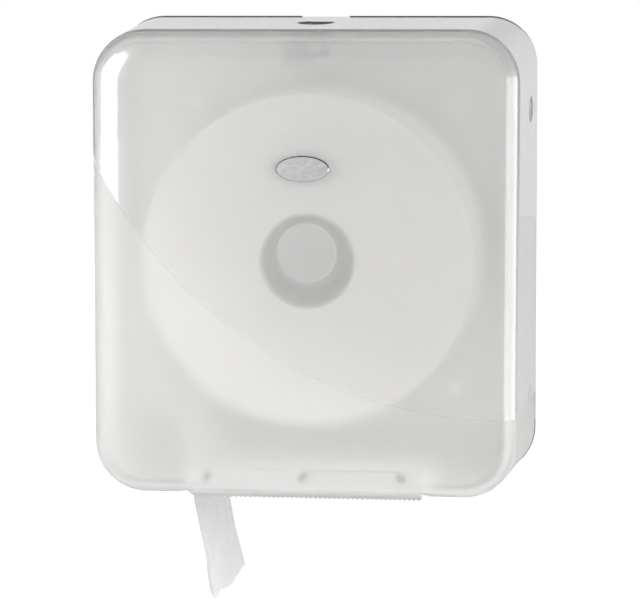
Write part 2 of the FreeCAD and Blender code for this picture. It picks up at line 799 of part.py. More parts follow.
def catch_screws():
    screws = []
    for x, z in catch_screw_places():
        head = -plate_thickness - catch_thickness - 2 * seat_gap
        screws.append(screw_y(x, z, head, -head - part_gap))
    return Part.makeCompound(screws)


save(back_plate(), "back_plate")
save(spindle(), "spindle")
save(spindle_screws(), "spindle_screws")
save(hub_sleeve(), "hub_sleeve")
save(thrust_washer(), "thrust_washer")
save(hub_cap(), "hub_cap")
save(roll_core(), "roll_core")
save(paper_roll(), "paper_roll")
save(paper_tail(), "paper_tail")
save(hinge_pin(), "hinge_pin_right")
save(mirrored(hinge_pin()), "hinge_pin_left")
save(front_cover(), "front_cover")
save(tear_strip(), "tear_strip")
save(strip_screws(), "tear_strip_screws")
save(badge(), "badge")
save(lock_bezel(), "lock_bezel")
save(lock_nut(), "lock_nut")
save(lock_barrel(), "lock_barrel")
save(lock_cam(), "lock_cam")
save(cam_screw(), "lock_cam_screw")
save(catch(), "catch")
save(catch_screws(), "catch_screws")
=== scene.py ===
# %% [markdown]
# # A jumbo toilet roll dispenser
#
# The real object is a translucent plastic cover on a grey back plate. A wide roll of tissue shows
# softly through the cover, and the loose end of the paper hangs out at the bottom left.
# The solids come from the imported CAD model. This lesson dresses them with materials, adds the wound
# paper and the hanging sheet, and lights the whole like a product picture.

# %% Load the frame
import math

import bmesh
import bpy
from mathutils import Matrix, Vector, noise


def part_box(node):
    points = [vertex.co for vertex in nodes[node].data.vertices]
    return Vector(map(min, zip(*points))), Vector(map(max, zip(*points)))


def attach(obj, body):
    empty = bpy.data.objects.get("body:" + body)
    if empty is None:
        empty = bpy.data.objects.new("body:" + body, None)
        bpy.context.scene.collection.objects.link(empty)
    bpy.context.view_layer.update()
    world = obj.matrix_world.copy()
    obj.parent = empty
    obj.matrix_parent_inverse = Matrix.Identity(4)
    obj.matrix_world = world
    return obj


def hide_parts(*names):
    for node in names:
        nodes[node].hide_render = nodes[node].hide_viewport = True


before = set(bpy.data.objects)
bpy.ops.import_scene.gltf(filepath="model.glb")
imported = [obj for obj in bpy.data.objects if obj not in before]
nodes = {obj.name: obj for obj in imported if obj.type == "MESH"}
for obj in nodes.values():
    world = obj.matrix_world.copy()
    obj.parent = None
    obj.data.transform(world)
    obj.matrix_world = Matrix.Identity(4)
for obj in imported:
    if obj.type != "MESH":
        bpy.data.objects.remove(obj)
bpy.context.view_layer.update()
mm = 0.001

# %% [markdown]
# ## Helpers for node graphs
#
# A material is a graph of nodes. It could be drawn in the editor, but a script gives the same graph
# every time. Writing each link by hand is long, so one helper adds a node and sets or links its
# inputs in one call. Another opens a new shader node group with named sockets.

# %% Nodes and groups
def add(tree, kind, inputs=None, **settings):
    """Adds a node. An input given as a socket is linked, and any other value is set."""
    node = tree.nodes.new(kind)
    for name, value in settings.items():
        setattr(node, name, value)
    for name, value in (inputs or {}).items():
        if isinstance(value, bpy.types.NodeSocket):
            tree.links.new(value, node.inputs[name])
        else:
            node.inputs[name].default_value = value
    return node


def new_group(name, inputs, outputs):
    """Opens a shader node group and gives its tree, its input node and its output node."""
    tree = bpy.data.node_groups.new(name, "ShaderNodeTree")
    kinds = {"value": "NodeSocketFloat", "colour": "NodeSocketColor", "vector": "NodeSocketVector"}
    for label, kind, value in inputs:
        socket = tree.interface.new_socket(label, in_out="INPUT", socket_type=kinds[kind])
        socket.default_value = value
    for label, kind in outputs:
        tree.interface.new_socket(label, in_out="OUTPUT", socket_type=kinds[kind])
    return tree, add(tree, "NodeGroupInput"), add(tree, "NodeGroupOutput")


# %% [markdown]
# ### Places, sums and tones
#
# Nearly every mask in this lesson is a sum on the place of a point. It could be painted on a UV map,
# but Object coordinates need none: all pieces share the frame of the CAD model, so one number means
# one place on all of them. Noise in the same coordinates keeps its real size on every piece.

# %% Sums in nodes
def object_place(tree):
    """The place of the point in the frame of the CAD model, in metres."""
    return add(tree, "ShaderNodeTexCoord").outputs["Object"]


def along_axis(tree, vector, axis):
    """One axis of a vector."""
    return add(tree, "ShaderNodeSeparateXYZ", {0: vector}).outputs[axis]


def math_node(tree, operation, first, second=0.0, clamp=False):
    """One sum on two numbers."""
    inputs = {0: first, 1: second}
    return add(tree, "ShaderNodeMath", inputs, operation=operation, use_clamp=clamp).outputs[0]


def vector_math(tree, operation, first, second=(0.0, 0.0, 0.0)):
    """One sum on two vectors. A length or a dot product gives a number, and the others a vector."""
    node = add(tree, "ShaderNodeVectorMath", {0: first, 1: second}, operation=operation)
    return node.outputs["Value" if operation in ("LENGTH", "DOT_PRODUCT") else "Vector"]


def scaled(tree, vector, factor):
    """A vector or a colour times a number."""
    inputs = {0: vector, "Scale": factor}
    return add(tree, "ShaderNodeVectorMath", inputs, operation="SCALE").outputs["Vector"]


def noise_at(tree, place, scale, detail):
    """Soft noise, mostly between 0.3 and 0.7."""
    inputs = {"Vector": place, "Scale": scale, "Detail": detail}
    return add(tree, "ShaderNodeTexNoise", inputs).outputs["Fac"]


def remap(tree, value, low, high, to_low, to_high):
    """Maps a value from one range to another, clamped."""
    inputs = {"Value": value, 1: low, 2: high, 3: to_low, 4: to_high}
    return add(tree, "ShaderNodeMapRange", inputs, clamp=True).outputs[0]


def mix_value(tree, share, first, second):
    """The first number where the share is 0 and the second where it is 1."""
    return add(tree, "ShaderNodeMix", {0: share, 2: first, 3: second}).outputs[0]


def mix_colour(tree, share, first, second):
    """The first colour where the share is 0 and the second where it is 1."""
    return add(tree, "ShaderNodeMix", {0: share, 6: first, 7: second}, data_type="RGBA").outputs[2]


def grey(value, warmth=0.0):
    """A linear grey, a little warm where warmth is above zero."""
    return (value * (1 + warmth), value, value * (1 - 2 * warmth), 1)


# %% [markdown]
# ## Shared effects
#
# Moulded plastic is never one flat colour. It has a fine grain from the mould and slow changes of
# tone where the melt cooled unevenly. Each could be an image, but noise at two sizes gives both and
# never repeats. Many pieces need them, so they are one node group that is built once.

# %% Moulded grain
grain_tree, grain_in, grain_out = new_group(
    "moulded_grain",
    [("Grain Size", "value", 0.6 * mm), ("Tone", "colour", (0.5, 0.5, 0.5, 1)),
     ("Tone Spread", "value", 0.05), ("Roughness", "value", 0.4), ("Roughness Spread", "value", 0.08)],
    [("Color", "colour"), ("Roughness", "value"), ("Height", "value")],
)
cloud_scale = 14.0
noise_middle = 0.5
place = object_place(grain_tree)
fineness = math_node(grain_tree, "DIVIDE", 1.0, grain_in.outputs["Grain Size"])
fine = noise_at(grain_tree, place, fineness, 2.0)
slow = noise_at(grain_tree, place, cloud_scale, 3.0)
swing = math_node(grain_tree, "SUBTRACT", slow, noise_middle)
swing = math_node(grain_tree, "MULTIPLY", swing, grain_in.outputs["Tone Spread"])
lift = math_node(grain_tree, "ADD", swing, 1.0)
tone = scaled(grain_tree, grain_in.outputs["Tone"], lift)
rough_swing = math_node(grain_tree, "SUBTRACT", fine, noise_middle)
rough_swing = math_node(grain_tree, "MULTIPLY", rough_swing, grain_in.outputs["Roughness Spread"])
rough = math_node(grain_tree, "ADD", grain_in.outputs["Roughness"], rough_swing, clamp=True)
grain_tree.links.new(tone, grain_out.inputs["Color"])
grain_tree.links.new(rough, grain_out.inputs["Roughness"])
grain_tree.links.new(fine, grain_out.inputs["Height"])
print("group", grain_tree.name)

# %% [markdown]
# ### Hairline scratches
#
# Cleaning leaves fine scratches in a few directions, thick in some places and missing in others.
# They could be drawn one by one. Here the borders of long stretched cells are the lines: three sets
# are turned over each other, and a patchy noise hides them in places.

# %% Scratches from stretched cells
scratch_tree, scratch_in, scratch_out = new_group(
    "hairline_scratches",
    [("Scale", "value", 60.0), ("Amount", "value", 0.5)],
    [("Mask", "value")],
)
scratch_turns = (0.35, 1.45, 2.4)
scratch_stretch = (1.0, 1.0, 0.04)
scratch_width = 0.012
patch_scale = 35.0
patch_low = 0.45
patch_high = 0.65
place = object_place(scratch_tree)
masks = []
for turn in scratch_turns:
    mapping = {"Vector": place, "Rotation": (0.2, turn, 0.1), "Scale": scratch_stretch}
    turned = add(scratch_tree, "ShaderNodeMapping", mapping).outputs[0]
    cells = {"Vector": turned, "Scale": scratch_in.outputs["Scale"]}
    borders = add(scratch_tree, "ShaderNodeTexVoronoi", cells, feature="DISTANCE_TO_EDGE").outputs[0]
    masks.append(remap(scratch_tree, borders, 0.0, scratch_width, 1.0, 0.0))
last_two = math_node(scratch_tree, "MAXIMUM", masks[1], masks[2])
all_lines = math_node(scratch_tree, "MAXIMUM", masks[0], last_two)
patchy = noise_at(scratch_tree, place, patch_scale, 2.0)
patchy = remap(scratch_tree, patchy, patch_low, patch_high, 0.0, 1.0)
scratched = math_node(scratch_tree, "MULTIPLY", all_lines, patchy)
scratched = math_node(scratch_tree, "MULTIPLY", scratched, scratch_in.outputs["Amount"])
scratch_tree.links.new(scratched, scratch_out.inputs["Mask"])
print("group", scratch_tree.name)

# %% [markdown]
# ### Worn edges
#
# Edges that are touched often turn paler. They could be picked by hand, but the Bevel node finds
# them: it gives the normal that a rounded edge would have, and where it leans away from the plain
# normal there is an edge.

# %% Edges from the Bevel node
edge_tree, edge_in, edge_out = new_group(
    "worn_edges",
    [("Radius", "value", 0.3 * mm), ("Sharpness", "value", 6.0)],
    [("Mask", "value")],
)
soft = add(edge_tree, "ShaderNodeBevel", {"Radius": edge_in.outputs["Radius"]}, samples=4).outputs[0]
plain = add(edge_tree, "ShaderNodeNewGeometry").outputs["Normal"]
bent = math_node(edge_tree, "SUBTRACT", 1.0, vector_math(edge_tree, "DOT_PRODUCT", soft, plain))
worn = math_node(edge_tree, "MULTIPLY", bent, edge_in.outputs["Sharpness"], clamp=True)
edge_tree.links.new(worn, edge_out.inputs["Mask"])
print("group", edge_tree.name)

# %% [markdown]
# ## The two finishes of the cover
#
# One moulding has two finishes. Above a long arc it is polished, and below it is frosted. On the
# real cover the mould itself is polished and blasted, so the line is sharp. The distance from the
# centre of the arc, read from the Object coordinates, is the simplest exact mask for it.

# %% Arc mask
arc_centre = (0.146, 0.0, 0.223)
arc_radius = 0.335
in_plane = (1.0, 0.0, 1.0)
arc_tree, arc_in, arc_out = new_group(
    "finish_arc",
    [("Centre", "vector", arc_centre), ("Radius", "value", arc_radius), ("Line Width", "value", 0.3 * mm)],
    [("Polished", "value")],
)
away = vector_math(arc_tree, "SUBTRACT", object_place(arc_tree), arc_in.outputs["Centre"])
away = vector_math(arc_tree, "MULTIPLY", away, in_plane)
reach = vector_math(arc_tree, "LENGTH", away)
beyond = math_node(arc_tree, "SUBTRACT", reach, arc_in.outputs["Radius"])
share = math_node(arc_tree, "DIVIDE", beyond, arc_in.outputs["Line Width"])
arc_tree.links.new(remap(arc_tree, share, -1.0, 1.0, 1.0, 0.0), arc_out.inputs["Polished"])
print("group", arc_tree.name, "has radius", arc_radius, "m round", arc_centre)

# %% [markdown]
# ## Materials
#
# Each material is one Principled shader. Its colour, roughness and bump come from the shared
# groups, with values for that piece. Numbers that don't change over the surface are set on the
# shader's own sockets.

# %% Opening a material
def group_node(tree, group, **inputs):
    """Places a group in a tree. An underscore in a name stands for the space in the input's name."""
    values = {name.replace("_", " "): value for name, value in inputs.items()}
    return add(tree, "ShaderNodeGroup", values, node_tree=group)


def new_material(name):
    """A material with one Principled shader: gives the material, its tree and its shader."""
    material = bpy.data.materials.new(name)
    material.use_nodes = True
    tree = material.node_tree
    tree.nodes.clear()
    shader = add(tree, "ShaderNodeBsdfPrincipled")
    add(tree, "ShaderNodeOutputMaterial", {"Surface": shader.outputs[0]})
    return material, tree, shader


def bump(tree, shader, height, depth, over=None):
    """Raises the surface by a height from 0 to 1 over a depth in metres, on top of an earlier bump."""
    node = add(tree, "ShaderNodeBump", {"Height": height, "Distance": depth, "Strength": 1.0})
    if over is not None:
        tree.links.new(over, node.inputs["Normal"])
    tree.links.new(node.outputs[0], shader.inputs["Normal"])
    return node.outputs[0]


# %% [markdown]
# ### Moulded plastic
#
# Most pieces are opaque mouldings that differ only in tone and gloss. Each could be a material of
# its own, but one function with those values keeps them alike. The scratches only dull the gloss,
# since a scratch in plastic has the colour of the plastic.

# %% Moulded plastic
plastic_grain = 0.6 * mm
grain_depth = 0.02 * mm
pale_edge = (0.85, 0.85, 0.84, 1)
scratch_dulling = 0.2


def moulded(name, colour, roughness=0.42, edge_light=0.25):
    """Opaque moulded plastic with grain, faint scratches and slightly paler worn edges."""
    material, tree, shader = new_material(name)
    body = group_node(tree, grain_tree, Grain_Size=plastic_grain, Tone=colour, Tone_Spread=0.08,
                      Roughness=roughness)
    marks = group_node(tree, scratch_tree, Scale=45.0, Amount=0.35)
    rims = group_node(tree, edge_tree, Radius=0.4 * mm, Sharpness=5.0)
    worn = math_node(tree, "MULTIPLY", rims.outputs["Mask"], edge_light)
    paler = mix_colour(tree, worn, body.outputs["Color"], pale_edge)
    tree.links.new(paler, shader.inputs["Base Color"])
    dulling = math_node(tree, "MULTIPLY", marks.outputs["Mask"], scratch_dulling)
    duller = math_node(tree, "ADD", body.outputs["Roughness"], dulling)
    tree.links.new(duller, shader.inputs["Roughness"])
    bump(tree, shader, body.outputs["Height"], grain_depth)
    return material


# %% [markdown]
# ### Bare metal
#
# Brushing, turning and drawing all leave fine streaks in one direction. An anisotropic shader could
# give that gloss, but streaks of noise also show from close by. Stretching the noise along one axis
# draws them out.

# %% Bare metal
streak_scale = 2600.0
streak_depth = 0.004 * mm
bright_edge = (0.95, 0.95, 0.94, 1)
edge_brightening = 0.4
noise_low = 0.3
noise_high = 0.7


def metal(name, colour, roughness=0.25, brushed=(1.0, 1.0, 1.0), streak=0.12):
    """Bare metal with fine streaks, drawn out along the axis whose number is small."""
    material, tree, shader = new_material(name)
    drawn = add(tree, "ShaderNodeMapping", {"Vector": object_place(tree), "Scale": brushed}).outputs[0]
    lines = noise_at(tree, drawn, streak_scale, 3.0)
    rims = group_node(tree, edge_tree, Radius=0.25 * mm, Sharpness=6.0)
    shade = remap(tree, lines, noise_low, noise_high, 1 - streak, 1 + streak / 2)
    brighter = math_node(tree, "MULTIPLY", rims.outputs["Mask"], edge_brightening)
    base = mix_colour(tree, brighter, scaled(tree, colour[:3], shade), bright_edge)
    tree.links.new(base, shader.inputs["Base Color"])
    gloss = remap(tree, lines, noise_low, noise_high, roughness - 0.05, roughness + 0.08)
    tree.links.new(gloss, shader.inputs["Roughness"])
    shader.inputs["Metallic"].default_value = 1.0
    bump(tree, shader, lines, streak_depth)
    return material


# %% [markdown]
# ### The eased border of the front face
#
# The big front face isn't quite flat. Its last centimetre falls away a little before the rounded
# edge begins, which is why the long highlights on the real cover are wider than the rounding. The
# distance from a rounded rectangle gives the border, and a smooth step over it gives its fall.

# %% Eased border
def eased_border(tree, half_size, corner, inside, outside):
    """A height of 1 on the face that falls smoothly to 0 across the border of a rounded rectangle."""
    spread = vector_math(tree, "ABSOLUTE", object_place(tree))
    straight = (half_size[0] - corner, 0.0, half_size[1] - corner)
    past = vector_math(tree, "SUBTRACT", spread, straight)
    past = vector_math(tree, "MAXIMUM", past)
    past = vector_math(tree, "MULTIPLY", past, in_plane)
    reach = vector_math(tree, "LENGTH", past)
    limits = {"Value": reach, 1: corner - inside, 2: corner + outside, 3: 1.0, 4: 0.0}
    return add(tree, "ShaderNodeMapRange", limits, interpolation_type="SMOOTHSTEP").outputs[0]


# %% [markdown]
# ### Distance from an oval
#
# The badge and the finger dimples are oval, and the finish changes round each of them. Their edges
# could be split off as faces of their own, but a distance needs no cut: divided by the half sizes of
# the oval, it is 1 all round the edge.

# %% Oval reach
def oval_reach(tree, centre, half_sizes, both_sides=False):
    """How far a point is from a centre, 1 at the half sizes. A half size of None ignores that axis."""
    place = object_place(tree)
    if both_sides:
        place = vector_math(tree, "ABSOLUTE", place)
    away = vector_math(tree, "SUBTRACT", place, centre)
    shares = tuple(1 / half if half else 0.0 for half in half_sizes)
    return vector_math(tree, "LENGTH", vector_math(tree, "MULTIPLY", away, shares))


# %% [markdown]
# ### Cover plastic
#
# The cover is milky: light comes through it, but shapes behind it blur. Real scattering inside the
# wall could make that, but it is slow and noisy, and a rough transmission with a pale tone looks the
# same. First come the zones: polished inside the arc, and frosted below it and in the dimples.

# %% Cover zones
dimple_place = (0.1605, 0.05, 0.109)
dimple_half = (0.008, 0.015, 0.01)
dimple_edge = 0.95
cover_plastic, tree, shader = new_material("cover_plastic")
arc = group_node(tree, arc_tree, Centre=arc_centre, Radius=arc_radius)
from_dimple = oval_reach(tree, dimple_place, dimple_half, both_sides=True)
outside_dimple = remap(tree, from_dimple, dimple_edge, 1.0, 0.0, 1.0)
polished = math_node(tree, "MULTIPLY", arc.outputs["Polished"], outside_dimple)
frosted = math_node(tree, "SUBTRACT", 1.0, polished)
print("dimples", [round(2000 * half) for half in dimple_half], "mm")

# %% [markdown]
# Each zone has its own copy of the grain group, with its own tone and roughness, and the zones
# choose between them. Round the raised badge the tone is a little darker: a painted shade at the
# foot of its edge.

# %% Cover tone and roughness
badge_shade_reach = 1.55
badge_shade_share = 0.2
fine_grain = group_node(tree, grain_tree, Grain_Size=0.35 * mm, Tone=grey(0.925, 0.005), Tone_Spread=0.03,
                        Roughness=0.43, Roughness_Spread=0.08)
smooth_body = group_node(tree, grain_tree, Grain_Size=6 * mm, Tone=grey(0.92, 0.005), Tone_Spread=0.03,
                         Roughness=0.2, Roughness_Spread=0.04)
plain_tone = mix_colour(tree, polished, fine_grain.outputs["Color"], smooth_body.outputs["Color"])
badge_low, badge_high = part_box("badge")
badge_middle = (badge_low + badge_high) / 2
badge_half = (badge_high - badge_low) / 2
from_badge = oval_reach(tree, badge_middle, (badge_half.x, None, badge_half.z))
# Painted shade: a soft darker ring round the badge.
badge_shade = remap(tree, from_badge, 1.0, badge_shade_reach, badge_shade_share, 0.0)
badge_shaded_tone = mix_colour(tree, badge_shade, plain_tone, grey(0.3))
tree.links.new(badge_shaded_tone, shader.inputs["Base Color"])
plain_rough = mix_value(tree, polished, fine_grain.outputs["Roughness"], smooth_body.outputs["Roughness"])
marks = group_node(tree, scratch_tree, Scale=30.0, Amount=0.04)
rough = math_node(tree, "ADD", plain_rough, marks.outputs["Mask"])
tree.links.new(rough, shader.inputs["Roughness"])
print("badge", [round(2000 * half) for half in badge_half], "mm")

# %% [markdown]
# The polished zone mirrors the room. A clear coat gives that, and leaves what shows through as it is.
# The eased border bends both the plastic and the coat, and the frosted grain only the plastic.

# %% Cover coat and border
face_half_size = (0.145, 0.159)
face_corner = 0.027
border_fall = 0.8 * mm
tree.links.new(polished, shader.inputs["Coat Weight"])
shader.inputs["Coat Roughness"].default_value = 0.04
shader.inputs["Coat IOR"].default_value = 1.5
shader.inputs["IOR"].default_value = 1.49
shader.inputs["Transmission Weight"].default_value = 0.75
border = eased_border(tree, face_half_size, face_corner, inside=9.5 * mm, outside=5 * mm)
eased = bump(tree, shader, border, border_fall)
frost = math_node(tree, "MULTIPLY", frosted, fine_grain.outputs["Height"])
bump(tree, shader, frost, grain_depth, over=eased)
tree.links.new(eased, shader.inputs["Coat Normal"])
print("the border falls", border_fall, "m round a face of half size", face_half_size)

# %% [markdown]
# ### A dark rim on a pale back plate
#
# The back plate is dark grey at its rim, a painted shade for the gap between the cover and the
# wall, which shows only as a thin line round the rear edge of the cover. Inside the rim the plate is
# pale, in soft patches. The depth from the wall tells the shaded rim from the pale inside, and the
# normal keeps the rear dark.

# %% Back plate plastic
def shader_of(material):
    """The Principled shader of a material that is already made."""
    return next(node for node in material.node_tree.nodes if node.type == "BSDF_PRINCIPLED")


def feed_of(shader, name):
    """The socket that feeds one input of a shader."""
    return shader.inputs[name].links[0].from_socket


shaded_rim_depth = 1.8 * mm
rim_shade_fade = 0.3 * mm
pale_patch_scale = 55.0
faintest_pale = 0.85
rear_start = 0.3
rear_full = 0.6
# Painted shade: this dark base tone stays on the rim, for the shaded gap behind the cover.
back_plastic = moulded("back_plastic", grey(0.12), roughness=0.5, edge_light=0.05)
tree = back_plastic.node_tree
shader = shader_of(back_plastic)
place = object_place(tree)
forward = along_axis(tree, place, "Y")
inside = remap(tree, forward, -shaded_rim_depth - rim_shade_fade, -shaded_rim_depth + rim_shade_fade, 1.0, 0.0)
normal = add(tree, "ShaderNodeTexCoord").outputs["Normal"]
not_rear = remap(tree, along_axis(tree, normal, "Y"), rear_start, rear_full, 1.0, 0.0)
inside = math_node(tree, "MULTIPLY", inside, not_rear)
patches = remap(tree, noise_at(tree, place, pale_patch_scale, 4.0), 0.25, 0.5, faintest_pale, 1.0)
pale_inside = math_node(tree, "MULTIPLY", inside, patches)
# Dark at the rim as painted shade, and pale inside.
rim_shade_and_pale = mix_colour(tree, pale_inside, feed_of(shader, "Base Color"), grey(0.74, 0.003))
tree.links.new(rim_shade_and_pale, shader.inputs["Base Color"])
print("dust from", round(shaded_rim_depth, 4), "m in front of the wall")

# %% [markdown]
# ### Lock and tear strip
#
# The ring and the dish of the lock are black, a painted shade for the key recess. Its tube inside
# the case is dulled by paper dust, so it hardly shows through the cover. The lowest few millimetres
# of the tear strip, where its teeth are, are a darker grey. Both are one moulding with two looks by
# height.

# %% Two looks on one piece
def second_look(material, share, tone, rougher=0.0):
    """Keeps the look where the share is 1, and gives another tone and more roughness where it is 0."""
    tree = material.node_tree
    shader = shader_of(material)
    mixed = mix_colour(tree, share, tone, feed_of(shader, "Base Color"))
    tree.links.new(mixed, shader.inputs["Base Color"])
    if rougher:
        extra = remap(tree, share, 0.0, 1.0, rougher, 0.0)
        duller = math_node(tree, "ADD", feed_of(shader, "Roughness"), extra)
        tree.links.new(duller, shader.inputs["Roughness"])


def above(tree, height, fade=0.2 * mm):
    """1 above a height and 0 below it."""
    level = along_axis(tree, object_place(tree), "Z")
    return remap(tree, level, height - fade, height + fade, 0.0, 1.0)


# %% [markdown]
# The ring of the lock is the top few millimetres of its piece, and the teeth are the lowest few of
# the strip, so each height is measured from the box of the piece.

# %% Lock and strip plastic
ring_height = 4 * mm
teeth_height = 4 * mm
lock_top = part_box("lock_bezel")[1].z
lock_plastic = moulded("lock_plastic", grey(0.07), roughness=0.3)
# Painted shade: above the ring height the lock stays black round the key recess, and below it turns grey.
ring = above(lock_plastic.node_tree, lock_top - ring_height)
second_look(lock_plastic, ring, grey(0.5), rougher=0.2)

strip_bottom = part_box("tear_strip")[0].z
strip_plastic = moulded("strip_plastic", grey(0.79), roughness=0.3, edge_light=0.1)
# The lowest few millimetres, where the teeth are, turn a darker grey.
above_teeth = above(strip_plastic.node_tree, strip_bottom + teeth_height, 1 * mm)
second_look(strip_plastic, above_teeth, grey(0.48), rougher=0.1)
print("black above", round(lock_top - ring_height, 4), "m, worn below", round(strip_bottom + teeth_height, 4))

# %% [markdown]
# ### Screws with a cross recess
#
# Small self-tapping screws have a pressed cross for the driver. It could be cut from the head, but
# it is only a few millimetres wide, so a near-black cross, painted as the shade inside the recess,
# with a bump is enough. The centres come from the box of each set of screws: one head where the box
# is as wide as a head, or else one at either end.

# %% Places of the screws
one_head = 2.2


def spots(low, high, radius):
    """Centres of the heads of one radius along one axis of a box."""
    if high - low < one_head * radius:
        return [low + radius]
    return [low + radius, high - radius]


# %% [markdown]
# Screws never stop at the same angle, so every cross is turned by its own. Two bars make the cross,
# and each is a mask that is 1 near its middle line and within its reach.

# %% Cross recess
arm_half_width = 0.4 * mm
arm_reach = 1.7 * mm
arm_fade = 0.1 * mm
end_fade = 0.3 * mm
cross_depth = 0.6 * mm
first_turn = 0.4
next_turn = 1.1


def cross_mask(tree, centre, axis, angle):
    """1 on a cross that lies square to the axis round a centre."""
    turned = {"Vector": object_place(tree), "Center": centre, "Axis": axis, "Angle": angle}
    place = add(tree, "ShaderNodeVectorRotate", turned).outputs[0]
    away = vector_math(tree, "ABSOLUTE", vector_math(tree, "SUBTRACT", place, centre))
    first = along_axis(tree, away, "X")
    second = along_axis(tree, away, "Z" if axis[1] else "Y")
    arms = []
    for along, over in ((first, second), (second, first)):
        thin = remap(tree, over, arm_half_width - arm_fade, arm_half_width + arm_fade, 1.0, 0.0)
        short = remap(tree, along, arm_reach - end_fade, arm_reach + arm_fade, 1.0, 0.0)
        arms.append(math_node(tree, "MULTIPLY", thin, short))
    return math_node(tree, "MAXIMUM", arms[0], arms[1])


def cross_screws(node, material, head_radius=3 * mm, axis=(0, 1, 0), middle=False):
    """Puts a pressed cross, painted near black as the shade in its recess, on the head of every screw of a
    node.
    """
    low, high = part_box(node)
    across = spots(low.x, high.x, head_radius)
    if middle:
        across.insert(1, (low.x + high.x) / 2)
    if axis[1]:
        centres = [(x, 0.0, z) for x in across for z in spots(low.z, high.z, head_radius)]
    else:
        centres = [(x, (low.y + high.y) / 2, 0.0) for x in across]
    tree = material.node_tree
    shader = shader_of(material)
    recess = 0.0
    for i, centre in enumerate(centres):
        cross = cross_mask(tree, centre, axis, first_turn + next_turn * i)
        recess = math_node(tree, "MAXIMUM", recess, cross)
    head = math_node(tree, "SUBTRACT", 1.0, recess)
    # Painted shade: the cross is near black, as the inside of a recess looks.
    second_look(material, head, grey(0.04), rougher=0.2)
    bump(tree, shader, head, cross_depth, over=feed_of(shader, "Normal"))
    print(node, "has", len(centres), "crosses")
    return material


# %% [markdown]
# ### A finish for every piece
#
# The small pieces are plain plastic or plain metal. They could be dressed one after another, but a
# table that names the piece and its finish is easier to read and to change.

# %% Plastic and metal pieces
finishes = {
    "front_cover": cover_plastic,
    "back_plate": back_plastic,
    "spindle": moulded("spindle_plastic", grey(0.25), roughness=0.4),
    "hub_sleeve": moulded("hub_plastic", grey(0.16), roughness=0.38),
    "thrust_washer": moulded("washer_plastic", grey(0.75, 0.02), roughness=0.35, edge_light=0.0),
    "hub_cap": moulded("cap_plastic", grey(0.42), roughness=0.36),
    "catch": moulded("catch_plastic", grey(0.46), roughness=0.45),
    "lock_barrel": moulded("barrel_plastic", grey(0.05), roughness=0.35),
    "tear_strip": strip_plastic,
    "badge": metal("badge_metal", grey(0.43), roughness=0.2, brushed=(0.1, 1.0, 1.0), streak=0.05),
    "lock_bezel": lock_plastic,
    "lock_nut": metal("nut_metal", grey(0.3), roughness=0.4),
    "lock_cam": metal("cam_steel", grey(0.25), roughness=0.4, brushed=(1.0, 0.05, 1.0)),
}
pin_steel = metal("pin_steel", grey(0.65), roughness=0.2, brushed=(0.05, 1.0, 1.0))
for node in ("hinge_pin_right", "hinge_pin_left"):
    finishes[node] = pin_steel
print(len(finishes), "pieces have a finish so far")

# %% [markdown]
# The screws differ by what they hold. The tear strip has white ones, with a third in the middle. The
# screw of the cam stands upright, and its head is wider.

# %% Screw finishes
for node in ("spindle_screws", "catch_screws"):
    finishes[node] = cross_screws(node, metal(node + "_steel", grey(0.6), roughness=0.28))
cam_screw_steel = metal("cam_screw_steel", grey(0.6), roughness=0.28)
finishes["lock_cam_screw"] = cross_screws("lock_cam_screw", cam_screw_steel, 4.2 * mm, axis=(0, 0, 1))
white_coat = moulded("white_screw_coat", grey(0.8), roughness=0.4, edge_light=0.1)
finishes["tear_strip_screws"] = cross_screws("tear_strip_screws", white_coat, middle=True)

# %% [markdown]
# ## Board and tissue
#
# The core is wound from strips of grey board, so it has faint slanting seams. They could be cut as
# grooves, but they hardly have a depth, and a slanting wave with narrow peaks draws them.

# %% Core board
board_dark = (0.42, 0.38, 0.32, 1)
board_pale = (0.56, 0.51, 0.44, 1)
seam_tone = (0.3, 0.26, 0.21, 1)
seam_width = 0.06
seam_strength = 0.5
fibre_scale = 900.0
core_board, tree, shader = new_material("core_board")
place = object_place(tree)
fibres = noise_at(tree, place, fibre_scale, 4.0)
slanted = add(tree, "ShaderNodeMapping", {"Vector": place, "Rotation": (0.0, 0.0, 0.5)}).outputs[0]
wave = {"Vector": slanted, "Scale": 9.0, "Distortion": 0.4}
seams = add(tree, "ShaderNodeTexWave", wave, wave_type="BANDS", bands_direction="Y").outputs["Fac"]
seams = remap(tree, seams, 0.0, seam_width, 1.0, 0.0)
board = mix_colour(tree, fibres, board_dark, board_pale)
board = mix_colour(tree, math_node(tree, "MULTIPLY", seams, seam_strength), board, seam_tone)
tree.links.new(board, shader.inputs["Base Color"])
shader.inputs["Roughness"].default_value = 0.85
bump(tree, shader, fibres, 0.05 * mm)
finishes["roll_core"] = core_board
print("material", core_board.name)

# %% [markdown]
# ### Tissue
#
# Tissue is soft and almost white. It is scraped off a drum, which leaves a fine crepe across the
# sheet, and its fibres lie in faint clouds. The wound roll and the hanging sheet both show them, so
# they are a node group too. A little sheen stands for the loose fibres.

